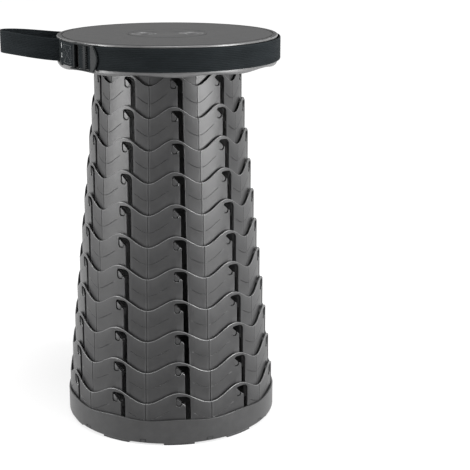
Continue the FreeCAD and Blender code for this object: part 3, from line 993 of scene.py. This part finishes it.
def strap_rise(x, y):
    """How far the webbing climbs: a little before it leaves the seat, and on to the end of the carry loop."""
    start = 1.0 - min(1.0, abs(math.degrees(math.atan2(y, -x))) / CLIMB_ANGLE)
    out = min(1.0, max(0.0, (-x - CLIMB_START) / (HANDLE_REACH - CLIMB_START)))
    eased = out * out * (3.0 - 2.0 * out) + out
    return EXIT_RISE * min(1.0, 2.0 * start) + (HANDLE_RISE - EXIT_RISE) * eased / 2.0


def webbing_sections():
    """Cross-sections of the webbing along its whole route, in order."""
    profile = webbing_profile()
    sections = []
    for number, (centre, radius, start, end) in enumerate(strap_route()):
        length = abs(math.radians(end - start)) * radius
        steps = max(6, int(length / SECTION_PITCH))
        side = 1.0 if end > start else -1.0
        for i in range(steps + 1):
            if i == 0 and number:
                continue
            angle = math.radians(start + (end - start) * i / steps)
            out = (math.cos(angle), math.sin(angle))
            section = []
            for across, up in profile:
                reach = radius + side * across
                x, y = centre[0] + reach * out[0], centre[1] + reach * out[1]
                section.append((x, y, WEBBING_LOW + up + strap_rise(x, y)))
            sections.append(section)
    return sections


strap = object_from("webbing_belt", *loft(webbing_sections()), sharp=WEBBING_SHARP)
placed(strap, "seat", "dark_webbing", webbing, "webbing_strap")


# ---------------------------------------------------------------- buckle
LOW_RAIL = WEBBING_LOW - 0.2
HIGH_RAIL = WEBBING_LOW + WEBBING_WIDTH + 0.2
RAIL_WIDTH = 1.6
FRAME_INNER = 127.4
FRAME_OUTER = 130.0
FRAME_START = 216.2
FRAME_END = 230.6
FRAME_DROP = 0.07
BAR_INNER = 125.2
BAR_OUTER = 126.6
LEFT_BAR = (213.6, 215.1)
MIDDLE_BAR_HALF = 0.6
FRAME_BAR = (127.6, 129.9)
FRAME_BAR_ANGLE = 1.2
TOOTHED_BAR = (128.6, 130.1)
TOOTHED_BAR_SPAN = (223.9, 225.5)
SIDE_OUTER = 129.9
TEETH = 13
TOOTH_RADII = (128.7, 129.9)
TOOTH_SPANS = ((223.1, 224.1), (225.3, 226.3))
TOOTH_HALF = 0.5
TOOTH_MARGIN = 1.0
TOOTH_ROUNDING = 0.25
TAB_START = 228.7
TAB_END = 230.3
TAB_BULGE = 2.5
TAB_BULGE_POWER = 0.8
TAB_OVERHANG = 1.2
TAB_STEPS = 18
TAB_INSET = 0.35
TAB_EDGE = math.degrees(0.35 / 130.0)


def tab_part():
    """Thumb tab: straight on the left, and bulged on the right."""
    sections = []
    for i in range(TAB_STEPS + 1):
        share = i / TAB_STEPS
        z = LOW_RAIL - TAB_OVERHANG + (HIGH_RAIL - LOW_RAIL + 2.0 * TAB_OVERHANG) * share
        end = TAB_END + TAB_BULGE * math.sin(math.pi * share) ** TAB_BULGE_POWER
        inset = TAB_INSET if i in (0, TAB_STEPS) else 0.0
        corners = [
            (TAB_START + TAB_EDGE, 128.7 + inset),
            (TAB_START, 129.1 + inset),
            (TAB_START, 130.0 - inset),
            (TAB_START + TAB_EDGE, 130.4 - inset),
            (end - 2.0 * TAB_EDGE, 130.7 - inset),
            (end - 0.6 * TAB_EDGE, 130.4 - inset),
            (end, 129.8 - inset),
            (end - TAB_EDGE, 128.7 + inset),
        ]
        sections.append([polar(r, angle, z) for angle, r in corners])
    return loft(sections)


def upright(inner, outer, start, end, round_off=0.4):
    """Bar of the buckle that runs up from the low rail to the high rail."""
    return arc_block(inner, outer, LOW_RAIL, HIGH_RAIL, start, end, round_off)


buckle_parts = [
    arc_block(FRAME_INNER, FRAME_OUTER, LOW_RAIL - RAIL_WIDTH, LOW_RAIL - 0.1, FRAME_START, FRAME_END),
    arc_block(FRAME_INNER, FRAME_OUTER, HIGH_RAIL + 0.1, HIGH_RAIL + RAIL_WIDTH, FRAME_START, FRAME_END),
    upright(BAR_INNER, BAR_OUTER, *LEFT_BAR),
    upright(BAR_INNER, BAR_OUTER, MIDDLE_BAR - MIDDLE_BAR_HALF, MIDDLE_BAR + MIDDLE_BAR_HALF),
    upright(*FRAME_BAR, FRAME_START, FRAME_START + FRAME_BAR_ANGLE),
    upright(*TOOTHED_BAR, *TOOTHED_BAR_SPAN, 0.45),
]
for low, high in (
    (LOW_RAIL - RAIL_WIDTH, LOW_RAIL - 0.15),
    (HIGH_RAIL + 0.15, HIGH_RAIL + RAIL_WIDTH),
):
    buckle_parts.append(arc_block(BAR_INNER, SIDE_OUTER, low, high, LEFT_BAR[0], FRAME_START + 0.2, 0.4))
buckle_parts.append(tab_part())
for i in range(TEETH):
    middle = LOW_RAIL + TOOTH_MARGIN + (HIGH_RAIL - LOW_RAIL - 2.0 * TOOTH_MARGIN) * i / (TEETH - 1)
    for span in TOOTH_SPANS:
        buckle_parts.append(arc_block(
            *TOOTH_RADII, middle - TOOTH_HALF, middle + TOOTH_HALF, *span, TOOTH_ROUNDING,
        ))
buckle_points, buckle_faces = joined(buckle_parts)


def hung(x, y, z):
    """Point of the buckle let down, the more the further it lies past the frame's start."""
    past = math.degrees(math.atan2(y, x)) % 360.0 - FRAME_START
    return (x, y, z - FRAME_DROP * max(0.0, past))


buckle = object_from("buckle", [hung(*point) for point in buckle_points], buckle_faces)
placed(buckle, "seat", "dark_plastic", buckle_plastic, "ladder_buckle")


# ---------------------------------------------------------------- stitches
STITCH_PITCH = 2.3
STITCH_SHARE = 0.7
STITCH_SINK = 0.05
STITCH_SIDES = 8
STITCH_TAPER = ((0.0, 0.35), (0.15, 0.8), (0.5, 1.0), (0.85, 0.8), (1.0, 0.35))
BOX_SPAN = (206.6, 213.6)
BOX_INSET = 2.6
TACK_ANGLE = 203.9
TACK_SPANS = ((439.6, 445.4), (428.8, 434.8))
TACK_HALF = 0.55
TACK_HEIGHT = 0.4


def stitch(start, end, half=0.35, height=0.3):
    """One stitch over the outer layer of the webbing, from one pair of azimuth and height to another."""
    face = SECOND_LAYER + WEBBING_THICKNESS / 2 - STITCH_SINK
    across = math.radians(end[0] - start[0]) * face
    up = end[1] - start[1]
    length = math.hypot(across, up)
    sections = []
    for share, size in STITCH_TAPER:
        section = []
        for i in range(STITCH_SIDES):
            turn = math.radians(360.0 / STITCH_SIDES * i)
            side = half * size * math.cos(turn)
            angle = start[0] + (end[0] - start[0]) * share + math.degrees(-side * up / length / face)
            z = start[1] + up * share + side * across / length
            rise = strap_rise(*polar(face, angle)[:2])
            section.append(polar(face + height * size * math.sin(turn), angle, z + rise))
        sections.append(section)
    return loft(sections)


def stitch_row(start, end):
    """Row of stitches from one pair of azimuth and height to another."""
    length = math.hypot(math.radians(end[0] - start[0]) * SECOND_LAYER, end[1] - start[1])
    count = max(1, round(length / STITCH_PITCH))
    rows = []
    for i in range(count):
        ends = []
        for half in (-STITCH_SHARE / 2, STITCH_SHARE / 2):
            share = (i + 0.5 + half) / count
            ends.append((start[0] + (end[0] - start[0]) * share, start[1] + (end[1] - start[1]) * share))
        rows.append(stitch(*ends))
    return rows


left, right = BOX_SPAN
bottom, top = WEBBING_LOW + BOX_INSET, WEBBING_LOW + WEBBING_WIDTH - BOX_INSET
rows = []
for start, end in (
    ((left, bottom), (right, bottom)),
    ((left, top), (right, top)),
    ((left, bottom), (left, top)),
    ((right, bottom), (right, top)),
    ((left, bottom), (right, top)),
    ((left, top), (right, bottom)),
):
    rows += stitch_row(start, end)
placed(object_from("box_stitches", *joined(rows)), "seat", "dark_webbing", thread)
tack = [
    stitch((TACK_ANGLE, low), (TACK_ANGLE, high), TACK_HALF, TACK_HEIGHT) for low, high in TACK_SPANS
]
placed(object_from("tack_stitches", *joined(tack)), "seat", "dark_webbing", pale_thread)


# ---------------------------------------------------------------- stage and lights
# Sizes from here on are in metres.
FLOOR_HALF = 6.0
FLOOR_GREY = 0.3
# The floor's glow is weaker near the stool's axis and full further out: painted shade round the stool, on top
# of its real shadow.
PAINTED_FLOOR_SHADE = {"From Min": 0.1, "From Max": 0.9, "To Min": 0.66, "To Max": 0.99}
AMBIENT = 0.16
LAMP_AIM = 0.25


def seen_directly(tree):
    """1 for rays from the camera, in a reflection or through glass, and 0 for those that light the object."""
    rays = tree.nodes.new("ShaderNodeLightPath")
    seen = rays.outputs["Is Camera Ray"]
    for kind in ("Is Glossy Ray", "Is Transmission Ray"):
        either = tree.nodes.new("ShaderNodeMath")
        either.operation = "MAXIMUM"
        tree.links.new(seen, either.inputs[0])
        tree.links.new(rays.outputs[kind], either.inputs[1])
        seen = either.outputs["Value"]
    return seen


floor_mesh = bpy.data.meshes.new("floor")
floor_corners = [(x * FLOOR_HALF, y * FLOOR_HALF, 0.0) for x, y in ((-1, -1), (1, -1), (1, 1), (-1, 1))]
floor_mesh.from_pydata(floor_corners, [], [(0, 1, 2, 3)])
floor = bpy.data.objects.new("floor", floor_mesh)
bpy.context.scene.collection.objects.link(floor)

paper = bpy.data.materials.new("paper")
paper.use_nodes = True
tree = paper.node_tree
tree.nodes.clear()
diffuse = tree.nodes.new("ShaderNodeBsdfDiffuse")
diffuse.inputs["Color"].default_value = (FLOOR_GREY, FLOOR_GREY, FLOOR_GREY, 1.0)
# Glow graded by distance from the axis: painted shade near the stool.
spot = tree.nodes.new("ShaderNodeTexCoord")
reach = tree.nodes.new("ShaderNodeVectorMath")
reach.operation = "LENGTH"
fade = tree.nodes.new("ShaderNodeMapRange")
fade.interpolation_type = "SMOOTHSTEP"
for socket, value in PAINTED_FLOOR_SHADE.items():
    fade.inputs[socket].default_value = value
strength = tree.nodes.new("ShaderNodeMath")
strength.operation = "MULTIPLY"
glow = tree.nodes.new("ShaderNodeEmission")
both = tree.nodes.new("ShaderNodeAddShader")
paper_out = tree.nodes.new("ShaderNodeOutputMaterial")
for output, socket in (
    (spot.outputs["Object"], reach.inputs[0]),
    (reach.outputs["Value"], fade.inputs["Value"]),
    (seen_directly(tree), strength.inputs[0]),
    (fade.outputs["Result"], strength.inputs[1]),
    (strength.outputs["Value"], glow.inputs["Strength"]),
    (diffuse.outputs["BSDF"], both.inputs[0]),
    (glow.outputs["Emission"], both.inputs[1]),
    (both.outputs["Shader"], paper_out.inputs["Surface"]),
):
    tree.links.new(output, socket)
floor.data.materials.append(paper)

world = bpy.data.worlds.new("studio")
bpy.context.scene.world = world
world.use_nodes = True
tree = world.node_tree
tree.nodes.clear()
choose = tree.nodes.new("ShaderNodeMixShader")
for socket, value in ((1, AMBIENT), (2, 1.0)):
    plain = tree.nodes.new("ShaderNodeBackground")
    plain.inputs["Color"].default_value = (1.0, 1.0, 1.0, 1.0)
    plain.inputs["Strength"].default_value = value
    tree.links.new(plain.outputs["Background"], choose.inputs[socket])
tree.links.new(seen_directly(tree), choose.inputs["Fac"])
sky_out = tree.nodes.new("ShaderNodeOutputWorld")
tree.links.new(choose.outputs["Shader"], sky_out.inputs["Surface"])


def softbox(name, azimuth, distance, height, width, tall, power):
    """Area light that looks at the stool's axis. Azimuth 0 is the camera's side, and grows to the right."""
    data = bpy.data.lights.new(name, "AREA")
    data.shape = "RECTANGLE"
    data.size = width
    data.size_y = tall
    data.energy = power
    lamp = bpy.data.objects.new(name, data)
    angle = math.radians(azimuth)
    lamp.location = (distance * math.sin(angle), -distance * math.cos(angle), height)
    direction = Vector((0.0, 0.0, LAMP_AIM)) - lamp.location
    lamp.rotation_euler = direction.to_track_quat("-Z", "Y").to_euler()
    lamp.visible_camera = False
    bpy.context.scene.collection.objects.link(lamp)


softbox("left_box", azimuth=-74.0, distance=1.1, height=0.45, width=0.4, tall=0.8, power=19.0)
softbox("right_box", azimuth=56.0, distance=1.1, height=0.45, width=0.4, tall=0.8, power=25.0)
softbox("top_box", azimuth=20.0, distance=0.5, height=2.2, width=0.9, tall=0.9, power=34.0)

bpy.context.scene.view_settings.view_transform = "Standard"
